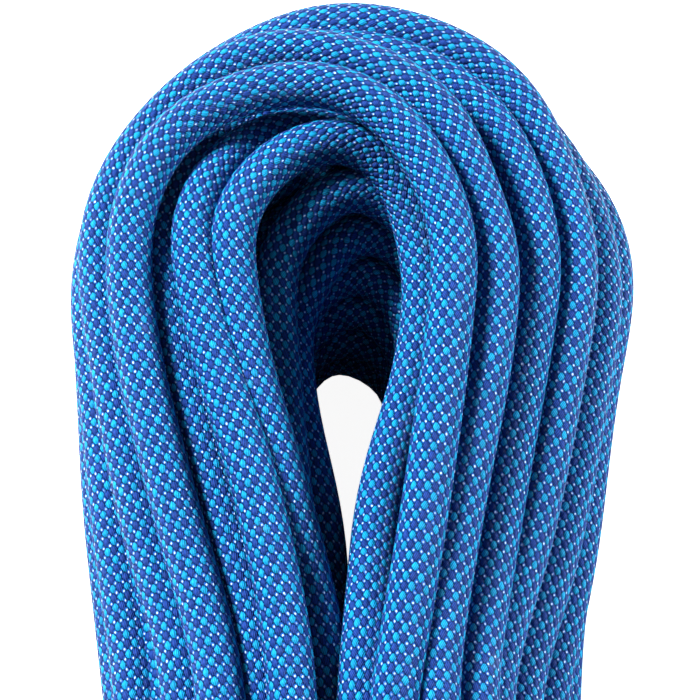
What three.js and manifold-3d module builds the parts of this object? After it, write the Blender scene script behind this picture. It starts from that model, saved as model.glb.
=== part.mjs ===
// Dynamic climbing rope, folded into a hank and tied round its waist with its own end.
// Units are millimetres. The hank lies flat: +X across it, +Y towards its head, +Z up.
// The origin is on the surface that it lies on, under the middle of its outline.

import * as THREE from 'three';
import { mergeVertices } from 'three/addons/utils/BufferGeometryUtils.js';
import Module from 'manifold-3d';

const wasm = await Module();
wasm.setup();

// ---------------------------------------------------------------- driving dimensions

// The rope. Sixty metres of it make the turns, the wraps and the two tails.
const ROPE_DIAMETER = 9.8;
const SHEATH_WALL = 0.8;
const TURN_COUNT = 40;

// The hank's outline, seen from above.
const HANK_LENGTH = 726;
const HEAD_WIDTH = 119;
const HEAD_RISE = 70;
const FOOT_WIDTH = 122;
const FOOT_RISE = 74;
const WAIST_WIDTH = 98;
const WAIST_FROM_HEAD = 235;

// The hank's section, seen from one end.
const BUNDLE_WIDTH = 48;
const ROPE_SHARE = 0.72;
const EDGE_ROUND = 22;
const NECK_ROUND = 26;

// The two eyes that the turns leave between the left and the right bundle.
const HEAD_EYE_WIDTH = 17;
const HEAD_EYE_LENGTH = 66;
const HEAD_EYE_FROM_HEAD = 90;
const FOOT_EYE_WIDTH = 24;
const FOOT_EYE_LENGTH = 220;
const FOOT_EYE_FROM_FOOT = 74;
const EYE_TIP_RADIUS = 2;

// The tie: the rope's own end, wrapped round the waist.
const WRAP_COUNT = 5;

// What a cut across the rope shows inside its sheath.
const INNER_STRANDS = 3;
const OUTER_STRANDS = 9;
const STRAND_GAP = 0.24;
const MARKER_TAPE_WIDTH = 2.4;
const MARKER_TAPE_THICKNESS = 0.15;

// What is on each end of the rope, measured back from the tip of its sheath.
const BAND_LENGTH = 30;
const BAND_FROM_TIP = 10;
const BAND_THICKNESS = 0.25;
const SLEEVE_LENGTH = 43;
const SLEEVE_FROM_TIP = 3;
const SLEEVE_THICKNESS = 0.4;
const TIP_LENGTH = 5;
const TIP_EDGE = 1.6;

// Room between pieces that touch.
const FACE_GAP = 0.3;
const FIT_GAP = 0.25;

// Fineness of the faceted solids.
const OUTLINE_STEPS = 10;
const EDGE_STEPS = 4;
const CORNER_STEPS = 4;
const ROPE_SIDES = 12;
const STRAND_SIDES = 8;
const STEP_LENGTH = 26;

// Where each tail goes from the face of the wraps that it comes out of: x across, y towards
// the head, both from the point where it leaves. It lies on the hank all the way.
const START_TAIL_X = -21;
const START_TAIL_ROUTE = [
  [0, 0], [0, -13], [-0.3, -26], [-0.9, -39], [-1.6, -52], [-2.2, -65], [-2.6, -78],
  [-2.8, -91], [-2.8, -104], [-2.8, -117], [-2.8, -130], [-2.8, -143], [-2.8, -156],
  [-2.8, -169], [-2.8, -182],
];
const FINISH_TAIL_X = 12;
const FINISH_TAIL_ROUTE = [
  [0, 0], [0.2, -12], [1.1, -24], [3, -36], [5.8, -47.6], [9, -59], [12, -70.6],
  [14.5, -82.4], [16.2, -94.2], [17.2, -106.2], [17.5, -118.2], [17.5, -130.2],
  [17.5, -142.2], [17.5, -154.2], [17.5, -166.2],
];

// ---------------------------------------------------------------- worked out from them

const ropeRadius = ROPE_DIAMETER / 2;
const ropeArea = Math.PI * ropeRadius ** 2;
const hankHeight = TURN_COUNT * ropeArea / (BUNDLE_WIDTH * ROPE_SHARE);
const headY = HANK_LENGTH / 2;
const footY = -HANK_LENGTH / 2;
const waistY = headY - WAIST_FROM_HEAD;
const wrapSpan = WRAP_COUNT * ROPE_DIAMETER;
const neckBottom = ROPE_DIAMETER + FACE_GAP;
const sheathBore = ropeRadius - SHEATH_WALL;
const bandBore = ropeRadius + FIT_GAP;
const sleeveBore = bandBore + BAND_THICKNESS + FIT_GAP;
const tailZ = hankHeight + FACE_GAP + sleeveBore + SLEEVE_THICKNESS;

// ---------------------------------------------------------------- materials

function finish(colour, roughness, metalness = 0) {
  return new THREE.MeshStandardMaterial({ color: colour, roughness, metalness });
}

const sheathWeave = finish(0x1f63b4, 0.62);
const coreNylon = finish(0xe9e9e4, 0.55);
const markerTape = finish(0xf2e9c4, 0.45);
const endBand = finish(0xf4f5f2, 0.5);
const shrinkSleeve = finish(0xdfe7ee, 0.15);
const fusedTip = finish(0x16264f, 0.35);

// ---------------------------------------------------------------- helpers

function solidOf(geometry) {
  const bare = geometry.clone();
  bare.deleteAttribute('normal');
  bare.deleteAttribute('uv');
  const merged = mergeVertices(bare, 1e-4);
  return new wasm.Manifold(new wasm.Mesh({
    numProp: 3,
    vertProperties: new Float32Array(merged.attributes.position.array),
    triVerts: new Uint32Array(merged.index.array),
  }));
}

function geometryOf(solid) {
  const mesh = solid.getMesh();
  const geometry = new THREE.BufferGeometry();
  geometry.setAttribute('position', new THREE.BufferAttribute(mesh.vertProperties, 3));
  geometry.setIndex(new THREE.BufferAttribute(mesh.triVerts, 1));
  geometry.computeVertexNormals();
  return geometry;
}

// A rectangle with round corners, in the plane of a section: x across, y up.
function roundedSection(halfWidth, bottom, top, radius) {
  const shape = new THREE.Shape();
  const inX = halfWidth - radius;
  shape.absarc(inX, top - radius, radius, 0, Math.PI / 2, false);
  shape.absarc(-inX, top - radius, radius, Math.PI / 2, Math.PI, false);
  shape.absarc(-inX, bottom + radius, radius, Math.PI, 1.5 * Math.PI, false);
  shape.absarc(inX, bottom + radius, radius, 1.5 * Math.PI, 2 * Math.PI, false);
  return shape;
}

// A section drawn in x and z, run along y for a span centred on middleY.
function prismAlongY(shape, middleY, span) {
  const geometry = new THREE.ExtrudeGeometry(shape, {
    depth: span,
    bevelEnabled: false,
    curveSegments: CORNER_STEPS,
  });
  geometry.rotateX(Math.PI / 2);
  geometry.translate(0, middleY + span / 2, 0);
  return geometry;
}

// A teardrop through the hank: round at one end, drawn in to a narrow tip at the other.
function eyeCutter(roundY, tipY, width) {
  const radius = width / 2;
  const towardsTip = Math.sign(tipY - roundY);
  const roundCentre = roundY + towardsTip * radius;
  const tipCentre = tipY - towardsTip * EYE_TIP_RADIUS;
  const lift = towardsTip < 0 ? 0 : Math.PI;
  const shape = new THREE.Shape();
  shape.absarc(0, roundCentre, radius, lift, lift + Math.PI, false);
  shape.absarc(0, tipCentre, EYE_TIP_RADIUS, lift + Math.PI, lift + 2 * Math.PI, false);
  const geometry = new THREE.ExtrudeGeometry(shape, {
    depth: hankHeight + 2 * ROPE_DIAMETER,
    bevelEnabled: false,
    curveSegments: CORNER_STEPS,
  });
  geometry.translate(0, 0, -ROPE_DIAMETER);
  return geometry;
}

// ---------------------------------------------------------------- the hank and its tie

function hankOutline() {
  const headHalf = HEAD_WIDTH / 2;
  const footHalf = FOOT_WIDTH / 2;
  const waistHalf = WAIST_WIDTH / 2;
  const shoulderY = headY - HEAD_RISE;
  const hipY = footY + FOOT_RISE;
  const neckTop = waistY + wrapSpan / 2 + FACE_GAP;
  const neckFoot = waistY - wrapSpan / 2 - FACE_GAP;
  const upperPull = (shoulderY - neckTop) / 2.4;
  const lowerPull = (neckFoot - hipY) / 2.4;
  const shape = new THREE.Shape();
  shape.absellipse(0, shoulderY, headHalf, HEAD_RISE, 0, Math.PI, false);
  shape.bezierCurveTo(
    -headHalf, shoulderY - upperPull, -waistHalf, neckTop + upperPull, -waistHalf, neckTop);
  shape.lineTo(-waistHalf, neckFoot);
  shape.bezierCurveTo(
    -waistHalf, neckFoot - lowerPull, -footHalf, hipY + lowerPull, -footHalf, hipY);
  shape.absellipse(0, hipY, footHalf, FOOT_RISE, Math.PI, 2 * Math.PI, false);
  shape.bezierCurveTo(
    footHalf, hipY + lowerPull, waistHalf, neckFoot - lowerPull, waistHalf, neckFoot);
  shape.lineTo(waistHalf, neckTop);
  shape.bezierCurveTo(
    waistHalf, neckTop + upperPull, headHalf, shoulderY - upperPull, headHalf, shoulderY);
  return shape;
}

// The neck is what the wraps close on: the same outline, lifted clear of the surface by the
// rope that passes underneath.
function neckSection(offset) {
  return roundedSection(
    WAIST_WIDTH / 2 + offset, neckBottom - offset, hankHeight + offset, NECK_ROUND + offset);
}

function hankSolid() {
  const block = new THREE.ExtrudeGeometry(hankOutline(), {
    depth: hankHeight - 2 * EDGE_ROUND,
    bevelEnabled: true,
    bevelThickness: EDGE_ROUND,
    bevelSize: EDGE_ROUND,
    bevelOffset: -EDGE_ROUND,
    bevelSegments: EDGE_STEPS,
    curveSegments: OUTLINE_STEPS,
  });
  block.translate(0, 0, EDGE_ROUND);
  const headEyeTop = headY - HEAD_EYE_FROM_HEAD;
  const footEyeEnd = footY + FOOT_EYE_FROM_FOOT;
  const headEye = eyeCutter(headEyeTop, headEyeTop - HEAD_EYE_LENGTH, HEAD_EYE_WIDTH);
  const footEye = eyeCutter(footEyeEnd, footEyeEnd + FOOT_EYE_LENGTH, FOOT_EYE_WIDTH);
  const seatSpan = wrapSpan + 2 * FACE_GAP;
  const slab = new THREE.BoxGeometry(2 * HEAD_WIDTH, seatSpan, 3 * hankHeight);
  slab.translate(0, waistY, hankHeight / 2);
  const neck = prismAlongY(neckSection(0), waistY, seatSpan + 2);
  const seat = solidOf(slab).subtract(solidOf(neck));
  return solidOf(block)
    .subtract(solidOf(headEye))
    .subtract(solidOf(footEye))
    .subtract(seat);
}

function waistWrapsGeometry() {
  const section = neckSection(FACE_GAP + ROPE_DIAMETER);
  section.holes.push(neckSection(FACE_GAP));
  return prismAlongY(section, waistY, wrapSpan);
}

// ---------------------------------------------------------------- the tails

function circle(radius, x = 0, y = 0) {
  const shape = new THREE.Shape();
  shape.absarc(x, y, radius, 0, 2 * Math.PI, false);
  return shape;
}

function ring(outerRadius, innerRadius) {
  const shape = circle(outerRadius);
  shape.holes.push(circle(innerRadius));
  return shape;
}

function bar(width, thickness, x, y) {
  const shape = new THREE.Shape();
  shape.moveTo(x - thickness / 2, y - width / 2);
  shape.lineTo(x + thickness / 2, y - width / 2);
  shape.lineTo(x + thickness / 2, y + width / 2);
  shape.lineTo(x - thickness / 2, y + width / 2);
  shape.closePath();
  return shape;
}

function tailCurve(exitX, route) {
  const exitY = waistY - wrapSpan / 2 - FACE_GAP;
  const points = route.map(([x, y]) => new THREE.Vector3(exitX + x, exitY + y, tailZ));
  return new THREE.CatmullRomCurve3(points, false, 'centripetal');
}

// The stretch of a curve between two distances along it.
function stretchOf(curve, from, to) {
  const whole = curve.getLength();
  const pieces = Math.max(2, Math.ceil((to - from) / STEP_LENGTH));
  const points = [];
  for (let i = 0; i <= pieces; i += 1) {
    points.push(curve.getPointAt(Math.min(1, (from + (to - from) * i / pieces) / whole)));
  }
  return new THREE.CatmullRomCurve3(points, false, 'centripetal');
}

function alongCurve(shape, curve, sides) {
  return new THREE.ExtrudeGeometry(shape, {
    steps: Math.max(2, Math.ceil(curve.getLength() / STEP_LENGTH)),
    extrudePath: curve,
    curveSegments: sides / 2,
  });
}

// Strands laid in rings of equal circles inside the sheath: centre of each, and their radius.
function strandLayout() {
  const tapeRoom = MARKER_TAPE_THICKNESS + 2 * STRAND_GAP;
  const flatToFlat = Math.cos(Math.PI / ROPE_SIDES);
  const room = sheathBore * flatToFlat - tapeRoom;
  const sine = Math.sin(Math.PI / OUTER_STRANDS);
  const pitchRadius = room * sine / (1 + sine);
  const outerRing = room - pitchRadius;
  const innerRing = pitchRadius / Math.sin(Math.PI / INNER_STRANDS);
  const places = [];
  for (let i = 0; i < INNER_STRANDS; i += 1) {
    const angle = 2 * Math.PI * i / INNER_STRANDS;
    places.push([innerRing * Math.cos(angle), innerRing * Math.sin(angle)]);
  }
  for (let i = 0; i < OUTER_STRANDS; i += 1) {
    const angle = 2 * Math.PI * (i + 0.5) / OUTER_STRANDS;
    places.push([outerRing * Math.cos(angle), outerRing * Math.sin(angle)]);
  }
  return { places, radius: pitchRadius - STRAND_GAP / 2 };
}

// The melted end: a plug with a rounded edge, as wide as the rope.
function fusedTipGeometry(curve) {
  const edge = new THREE.Path();
  edge.moveTo(0, 0);
  edge.lineTo(ropeRadius, 0);
  edge.lineTo(ropeRadius, TIP_LENGTH - TIP_EDGE);
  edge.absarc(ropeRadius - TIP_EDGE, TIP_LENGTH - TIP_EDGE, TIP_EDGE, 0, Math.PI / 2, false);
  edge.lineTo(0, TIP_LENGTH);
  const geometry = new THREE.LatheGeometry(edge.getPoints(4), ROPE_SIDES);
  const tangent = curve.getTangentAt(1);
  const turn = new THREE.Quaternion().setFromUnitVectors(new THREE.Vector3(0, 1, 0), tangent);
  const place = curve.getPointAt(1).addScaledVector(tangent, FACE_GAP);
  geometry.applyMatrix4(new THREE.Matrix4().compose(place, turn, new THREE.Vector3(1, 1, 1)));
  return geometry;
}

// ---------------------------------------------------------------- the assembly

const rope = new THREE.Group();

function add(name, geometry, material) {
  const mesh = new THREE.Mesh(geometry, material);
  mesh.name = name;
  rope.add(mesh);
}

function addTail(end, exitX, route) {
  const curve = tailCurve(exitX, route);
  const whole = curve.getLength();
  add(`${end}_tail_sheath`, alongCurve(ring(ropeRadius, sheathBore), curve, ROPE_SIDES),
    sheathWeave);

  const { places, radius } = strandLayout();
  places.forEach(([x, y], i) => {
    const number = String(i + 1).padStart(2, '0');
    add(`${end}_core_strand_${number}`,
      alongCurve(circle(radius, x, y), curve, STRAND_SIDES), coreNylon);
  });

  const tapeX = sheathBore * Math.cos(Math.PI / ROPE_SIDES) - STRAND_GAP
    - MARKER_TAPE_THICKNESS / 2 - (MARKER_TAPE_WIDTH / 2) ** 2 / (2 * sheathBore);
  add(`${end}_marker_tape`,
    alongCurve(bar(MARKER_TAPE_WIDTH, MARKER_TAPE_THICKNESS, tapeX, 0), curve, 2), markerTape);

  const bandEnd = whole - BAND_FROM_TIP;
  add(`${end}_end_band`,
    alongCurve(ring(bandBore + BAND_THICKNESS, bandBore),
      stretchOf(curve, bandEnd - BAND_LENGTH, bandEnd), ROPE_SIDES), endBand);

  const sleeveEnd = whole - SLEEVE_FROM_TIP;
  add(`${end}_shrink_sleeve`,
    alongCurve(ring(sleeveBore + SLEEVE_THICKNESS, sleeveBore),
      stretchOf(curve, sleeveEnd - SLEEVE_LENGTH, sleeveEnd), ROPE_SIDES), shrinkSleeve);

  add(`${end}_fused_tip`, fusedTipGeometry(curve), fusedTip);
}

add('hank', geometryOf(hankSolid()), sheathWeave);
add('waist_wraps', waistWrapsGeometry(), sheathWeave);
addTail('start', START_TAIL_X, START_TAIL_ROUTE);
addTail('finish', FINISH_TAIL_X, FINISH_TAIL_ROUTE);

export default rope;
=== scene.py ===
"""A dynamic climbing rope, coiled into a long hank and tied round its waist with its own end."""

import math

import bpy
import numpy as np
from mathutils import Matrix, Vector


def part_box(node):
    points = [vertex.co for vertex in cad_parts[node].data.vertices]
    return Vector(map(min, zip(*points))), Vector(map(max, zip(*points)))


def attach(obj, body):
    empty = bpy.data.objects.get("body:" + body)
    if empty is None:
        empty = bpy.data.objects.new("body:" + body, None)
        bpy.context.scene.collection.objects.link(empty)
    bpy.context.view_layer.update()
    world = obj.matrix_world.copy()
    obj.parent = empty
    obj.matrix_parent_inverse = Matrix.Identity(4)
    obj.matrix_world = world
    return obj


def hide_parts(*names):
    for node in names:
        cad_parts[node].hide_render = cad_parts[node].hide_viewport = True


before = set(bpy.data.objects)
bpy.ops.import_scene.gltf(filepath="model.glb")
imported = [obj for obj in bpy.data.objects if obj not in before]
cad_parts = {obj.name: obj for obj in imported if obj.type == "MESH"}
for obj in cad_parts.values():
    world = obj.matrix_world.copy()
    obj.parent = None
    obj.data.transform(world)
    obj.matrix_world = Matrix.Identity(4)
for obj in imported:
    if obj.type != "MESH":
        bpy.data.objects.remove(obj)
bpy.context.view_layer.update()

MM = 0.001

# --- camera: a long lens, looking down along the hank to its head
CAMERA_RISE = 65.0
CAMERA_AIM = (0.0, 284.0, 60.0)
CAMERA_DISTANCE = 559.0
CAMERA_LENS = 135.0
CAMERA_SENSOR = 36.0
CAMERA_NEAR = 0.01
CAMERA_FAR = 50.0


def make_camera():
    data = bpy.data.cameras.new("camera")
    data.lens = CAMERA_LENS
    data.sensor_width = CAMERA_SENSOR
    data.clip_start = CAMERA_NEAR
    data.clip_end = CAMERA_FAR
    camera = bpy.data.objects.new("camera", data)
    rise = math.radians(CAMERA_RISE)
    aim = Vector(CAMERA_AIM) * MM
    back = Vector((0.0, -math.cos(rise), math.sin(rise))) * CAMERA_DISTANCE * MM
    camera.location = aim + back
    camera.rotation_euler = (-back).to_track_quat("-Z", "Y").to_euler()
    bpy.context.scene.collection.objects.link(camera)
    bpy.context.scene.camera = camera


# --- the hank: its middle line and the room the turns have across it (millimetres)
ROPE = 9.8
ROPE_RADIUS = ROPE / 2
# turns on each ring across the bundle, from the outermost to the one in the middle
RING_TURNS = (20, 13, 6, 1)
RING_SIZES = (1.0, 0.68, 0.36, 0.0)
TURNS = sum(RING_TURNS)
HEAD_MIDDLE = 293.0
HEAD_HALF = 34.5
HEAD_REACH = 41.0
FOOT_MIDDLE = -289.0
FOOT_HALF = 36.0
FOOT_REACH = 45.0
HEAD_STEPS = 24
RUN_STEPS = 46
FOOT_STEPS = 12
# the finish end where it passes under the wraps, which the turns make room for
GUEST_X = 12.0
GUEST_Z = 82.8
GUEST_MIDDLE = 131.0
GUEST_HALF_LENGTH = 34.0
FAR_AWAY = -9999.0
SETTLE_ROUNDS = 110
# the last rounds only push, and no longer draw the turns smooth
ROUGH_ROUNDS = 8
PUSH_SHARE = 0.27
EDGE_POWER = 2.8
EDGE_PULL = 0.6
HELD_STIFFNESS = 0.8
HELD_DRAW = 0.5
HELD_FIRMLY = 0.5
HOLD_FADE = 7.0
SMOOTHING = 0.35
NOT_ITSELF = 1e6
# hidden turns stay this far behind the ones that show
BEHIND = 0.85 * ROPE
NO_LID = 999.0

# along a side, by y: middle of the bundle, its inner and outer reach, its lower and upper face
SIDE_ROOM = (
    (-289.0, 36.0, -25.0, 25.0, 0.0, 84.0),
    (-200.0, 35.0, -25.0, 25.3, 0.0, 86.0),
    (-80.0, 30.5, -25.0, 25.0, 0.0, 87.0),
    (20.0, 27.0, -25.0, 25.0, 1.0, 88.0),
    (90.0, 25.0, -24.8, 24.8, 8.0, 88.5),
    (128.0, 24.6, -24.4, 24.4, 10.1, 88.5),
    (165.0, 24.8, -24.6, 24.7, 7.0, 88.5),
    (200.0, 27.0, -26.8, 23.0, 0.5, 88.5),
    (250.0, 31.0, -27.0, 25.5, 0.0, 88.0),
    (293.0, 34.5, -26.5, 25.5, 0.0, 88.0),
)
# the right side is drawn in a little more than the left below the head, by y
SIDE_TRIM = (
    (165.0, 0.3, 0.5), (200.0, 1.5, 3.0), (232.0, 1.3, 4.8), (262.0, 0.0, 2.0), (285.0, 0.0, 0.0),
)
# the right shoulder stands out a little, round this angle of the head
SHOULDER_AT = 42.0
SHOULDER_SPREAD = 40.0
SHOULDER_BULGE = 2.6
HEAD_ROOM = (-37.0, 29.0, 0.0, 89.5)
FOOT_ROOM = (-30.0, 29.0, 0.0, 82.0)
BEND_POWER = 1.3


def stations():
    """One row for each cut across the hank: x, y, way out x, way out y, room across, room in height."""
    length = HEAD_MIDDLE - FOOT_MIDDLE
    foot = (FOOT_MIDDLE, FOOT_HALF, FOOT_REACH, FOOT_ROOM)
    head = (HEAD_MIDDLE, HEAD_HALF, HEAD_REACH, HEAD_ROOM)
    rows = [bend_row(*foot, -90.0 - 90.0 * step / FOOT_STEPS) for step in range(FOOT_STEPS)]
    rows += [side_row(-1.0, FOOT_MIDDLE + length * step / RUN_STEPS) for step in range(RUN_STEPS)]
    rows += [bend_row(*head, 180.0 - 180.0 * step / HEAD_STEPS) for step in range(HEAD_STEPS + 1)]
    rows += [side_row(1.0, HEAD_MIDDLE - length * step / RUN_STEPS) for step in range(1, RUN_STEPS + 1)]
    rows += [bend_row(*foot, -90.0 * step / FOOT_STEPS) for step in range(1, FOOT_STEPS + 1)]
    return np.array(rows)


def side_row(side, y):
    room = np.array(SIDE_ROOM)
    middle, inner, outer, low, high = [np.interp(y, room[:, 0], room[:, k]) for k in range(1, 6)]
    trim = np.array(SIDE_TRIM)
    if y >= trim[0, 0]:
        outer -= np.interp(y, trim[:, 0], trim[:, 1 if side < 0 else 2])
    return (side * middle, y, side, 0.0, inner, outer, low, high)


def bend_row(middle_y, half, reach, room, degrees):
    turn = math.radians(degrees)
    across, along = math.cos(turn), math.sin(turn)
    share = abs(along) ** BEND_POWER
    side = side_row(1.0, middle_y)
    inner, outer, low, high = [a + (b - a) * share for a, b in zip(side[4:], room)]
    outer += SHOULDER_BULGE * max(0.0, 1.0 - abs(degrees - SHOULDER_AT) / SHOULDER_SPREAD)
    return (half * across, middle_y + reach * along, across, along, inner, outer, low, high)


def ring_places():
    """The (ring, share of the way round) of every turn in the order the rope lays them."""
    outer, second, third, _ = RING_TURNS
    places = [(0, k / outer) for k in range(outer // 2)]
    places += [(1, k / second) for k in range(second // 2, -1, -1)]
    places += [(2, k / third) for k in range(third // 2)]
    places += [(3, 0.0)]
    places += [(2, k / third) for k in range(third // 2, third)]
    places += [(1, k / second) for k in range(second - 1, second // 2, -1)]
    places += [(0, k / outer) for k in range(outer // 2, outer)]
    return places


FIRST_PLACE = 0.25
SQUARENESS = 2.6
RING_CUTS = 180


def squared_oval(half_wide, half_high, squareness, cuts):
    """Points round an oval that is filled out towards its corners."""
    angles = np.linspace(0.0, 2.0 * np.pi, cuts + 1)
    power = 2.0 / squareness
    x = half_wide * np.sign(np.cos(angles)) * np.abs(np.cos(angles)) ** power
    z = half_high * np.sign(np.sin(angles)) * np.abs(np.sin(angles)) ** power
    return x, z


def run_along(x, y):
    """How far along a line each of its points is."""
    return np.concatenate([[0.0], np.cumsum(np.hypot(np.diff(x), np.diff(y)))])


def on_ring(ring, share, shift, half_wide, half_high):
    """A place on one of the rings, the shift measured in millimetres along the outermost ring."""
    x, z = squared_oval(half_wide, half_high, SQUARENESS, RING_CUTS)
    run = run_along(x, z)
    at = ((share + FIRST_PLACE) * run[-1] + shift) % run[-1]
    size = RING_SIZES[ring]
    return np.array([size * np.interp(at, run, x), size * np.interp(at, run, z)])


# how far the top of the bundle has rolled inwards, by the way round the hank
ROLL = (
    (0.0, -2.0), (0.25, -10.0), (0.365, 2.0), (0.42, -12.0), (0.44, -12.0), (0.5, 0.0), (0.56, 13.0),
    (0.60, 14.0), (0.70, 16.0), (1.0, 8.0),
)
# where on the hank the shown turns have chosen places: L and R are the left and right side at that y,
# H is the bend of the head at that angle
SHOWN_AT = (
    "L88", "L112", "L150", "L200", "L240", "L275", "H150", "H120", "H90", "H60", "H30",
    "R280", "R240", "R200", "R140",
)
# each shown turn: the first of those, then its place (outwards, height) there and at the ones after it
SHOWN = {
    0: (
        "L88", (6.5, 84), (-3.2, 83), (-3.6, 82), (-2, 80), (5, 79), (11, 79), (13, 81), (7, 83),
        (0, 84), (-8, 84), (-12, 84), (-13, 84), (-15, 84), (-18, 83), (-22, 83),
    ),
    1: ("L200", (-10, 76), (-4, 74), (3, 73), (8, 71), (9, 68), (8, 67), (5, 64), (2, 62), (0, 60)),
    2: (
        "L150", (-14, 82), (-16, 82), (-12, 82), (-4, 80), (1, 77), (2, 71), (-1, 66), (-5, 60),
        (-2, 52), (-2, 50),
    ),
    3: (
        "L200", (-23, 72), (-18, 77), (-11, 79), (-8, 80), (-8, 79), (-8, 77), (-12, 70), (-17, 66),
        (-19, 66), (-25, 69), (-25, 78), (-22, 72),
    ),
    4: ("L275", (-18, 69), (-18, 69), (-18, 70), (-15, 70), (-14, 64), (-12, 60), (-9, 58)),
    5: (
        "L240", (-25, 52), (-21, 53), (-24, 57), (-24, 58), (-20, 58), (-17, 56), (-15, 54),
        (-17, 54), (-22, 58),
    ),
    6: (
        "L240", (-23, 42), (-20, 43), (-23, 47), (-25, 49), (-25, 49), (-23, 48), (-22, 48),
        (-19, 46), (-22, 48),
    ),
    7: ("L275", (-19, 33), (-25, 38), (-28, 40), (-29, 40), (-27, 40), (-25, 40), (-20, 37)),
    8: ("L275", (-19, 23), (-26, 29), (-30, 30), (-32, 30), (-30, 30), (-27, 30), (-21, 28)),
    9: ("L275", (-19, 13), (-25, 20), (-29, 20), (-32, 20), (-31, 20), (-28, 20), (-21, 19)),
    15: (
        "L275", (13, 60), (16, 64), (19, 66), (18, 71), (15, 70), (9, 70), (4, 70), (0, 70),
        (-3, 74), (5, 82),
    ),
    36: ("H90", (28, 40), (30, 40), (29, 42), (20, 44), (17, 46), (12, 47), (20, 56)),
    37: (
        "L275", (21, 46), (24, 46), (26, 50), (27, 56), (27, 54), (24, 53), (18, 54), (13, 55),
        (6, 58), (18, 66),
    ),
    38: (
        "L200", (15, 60), (18, 58), (20, 58), (24, 58), (27, 61), (26, 69), (25, 67), (18, 64),
        (12, 65), (7, 65), (0, 68), (13, 75),
    ),
    39: (
        "L200", (5, 73), (12, 70), (17, 70), (21, 70), (20, 74), (11, 79), (4, 79), (-3, 78),
        (-4, 78), (-8, 78), (-11, 80), (-3, 83),
    ),
}
# the turns that show on top of the bundle, and those that show inside the eye
TOP_TURNS = (4, 3, 2, 1, 0, 39, 15, 38, 37, 36)
EYE_TURNS = (4, 5, 6, 7, 8, 9)
OTHER_SIDE = 1000.0


def station_share(rows):
    run = run_along(rows[:, 0], rows[:, 1])
    return run / run[-1]


def shown_stations(rows):
    """The station nearest to each place named in SHOWN_AT."""
    found = []
    for name in SHOWN_AT:
        kind, value = name[0], float(name[1:])
        if kind == "H":
            angle = np.degrees(np.arctan2(rows[:, 3], rows[:, 2]))
            miss = np.abs(angle - value) + OTHER_SIDE * (rows[:, 1] < 0)
        else:
            side = -1.0 if kind == "L" else 1.0
            miss = np.abs(rows[:, 1] - value) + OTHER_SIDE * (rows[:, 2] != side)
        found.append(int(np.argmin(miss)))
    return found


def shown_targets(rows, count):
    """For every station and turn: the chosen place and how firmly the turn is held to it."""
    at = shown_stations(rows)
    marks = np.arange(len(rows))
    target = np.zeros((len(rows), count, 2))
    hold = np.zeros((len(rows), count))
    for turn, (first, *places) in SHOWN.items():
        start = SHOWN_AT.index(first)
        spots = at[start:start + len(places)]
        for axis in range(2):
            target[:, turn, axis] = smooth_through(marks, spots, [place[axis] for place in places])
        fade_in = np.clip(1.0 - (spots[0] - marks) / HOLD_FADE, 0.0, 1.0)
        fade_out = np.clip(1.0 - (marks - spots[-1]) / HOLD_FADE, 0.0, 1.0)
        hold[:, turn] = fade_in * fade_out
    return target, hold


def smooth_through(marks, spots, values):
    """A smooth curve through a few chosen values, level beyond its ends."""
    slopes = np.zeros(len(spots))
    for k in range(1, len(spots) - 1):
        left = (values[k] - values[k - 1]) / (spots[k] - spots[k - 1])
        right = (values[k + 1] - values[k]) / (spots[k + 1] - spots[k])
        slopes[k] = 0.0 if left * right <= 0 else 2.0 * left * right / (left + right)
    result = np.interp(marks, spots, values)
    for k in range(len(spots) - 1):
        span = spots[k + 1] - spots[k]
        inside = (marks >= spots[k]) & (marks <= spots[k + 1])
        t = (marks[inside] - spots[k]) / span
        leaving = (2 * t**3 - 3 * t**2 + 1) * values[k] + (t**3 - 2 * t**2 + t) * span * slopes[k]
        result[inside] = leaving + (3 * t**2 - 2 * t**3) * values[k + 1]
        result[inside] += (t**3 - t**2) * span * slopes[k + 1]
    return result


FOOT_SHARE = 0.1


def room_in(rows):
    """At every station: the middle of the room and half its size, across and in height."""
    inner, outer, low, high = rows[:, 4], rows[:, 5], rows[:, 6], rows[:, 7]
    half_wide = (outer - inner) / 2 - ROPE_RADIUS
    half_high = (high - low) / 2 - ROPE_RADIUS
    return (inner + outer) / 2, half_wide, (low + high) / 2, half_high


def first_layout(rows, places):
    """Every turn on its ring at every station, sliding to the next turn's place round the foot."""
    share = station_share(rows)
    roll = np.interp(share, [way for way, _ in ROLL], [shift for _, shift in ROLL])
    middle, half_wide, height, half_high = room_in(rows)
    layout = np.zeros((len(rows), len(places), 2))
    for station in range(len(rows)):
        room = (half_wide[station], half_high[station])
        spots = [on_ring(ring, way, roll[station], *room) for ring, way in places]
        late = 0.5 * np.clip((share[station] - (1.0 - FOOT_SHARE)) / FOOT_SHARE, 0.0, 1.0)
        early = 0.5 * np.clip((FOOT_SHARE - share[station]) / FOOT_SHARE, 0.0, 1.0)
        for turn, spot in enumerate(spots):
            after = spots[(turn + 1) % len(spots)]
            before = spots[turn - 1]
            layout[station, turn] = spot + late * (after - spot) + early * (before - spot)
    layout[..., 0] += middle[:, None]
    layout[..., 1] += height[:, None]
    return layout


WANDER = 1.5
WANDER_WAVES = 6
# odd steps, so that the swings of one turn are unlike those of the next
SIZE_STEPS = (12.9898, 78.233, 37.7)
START_STEPS = (0.618, 0.31)


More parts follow.
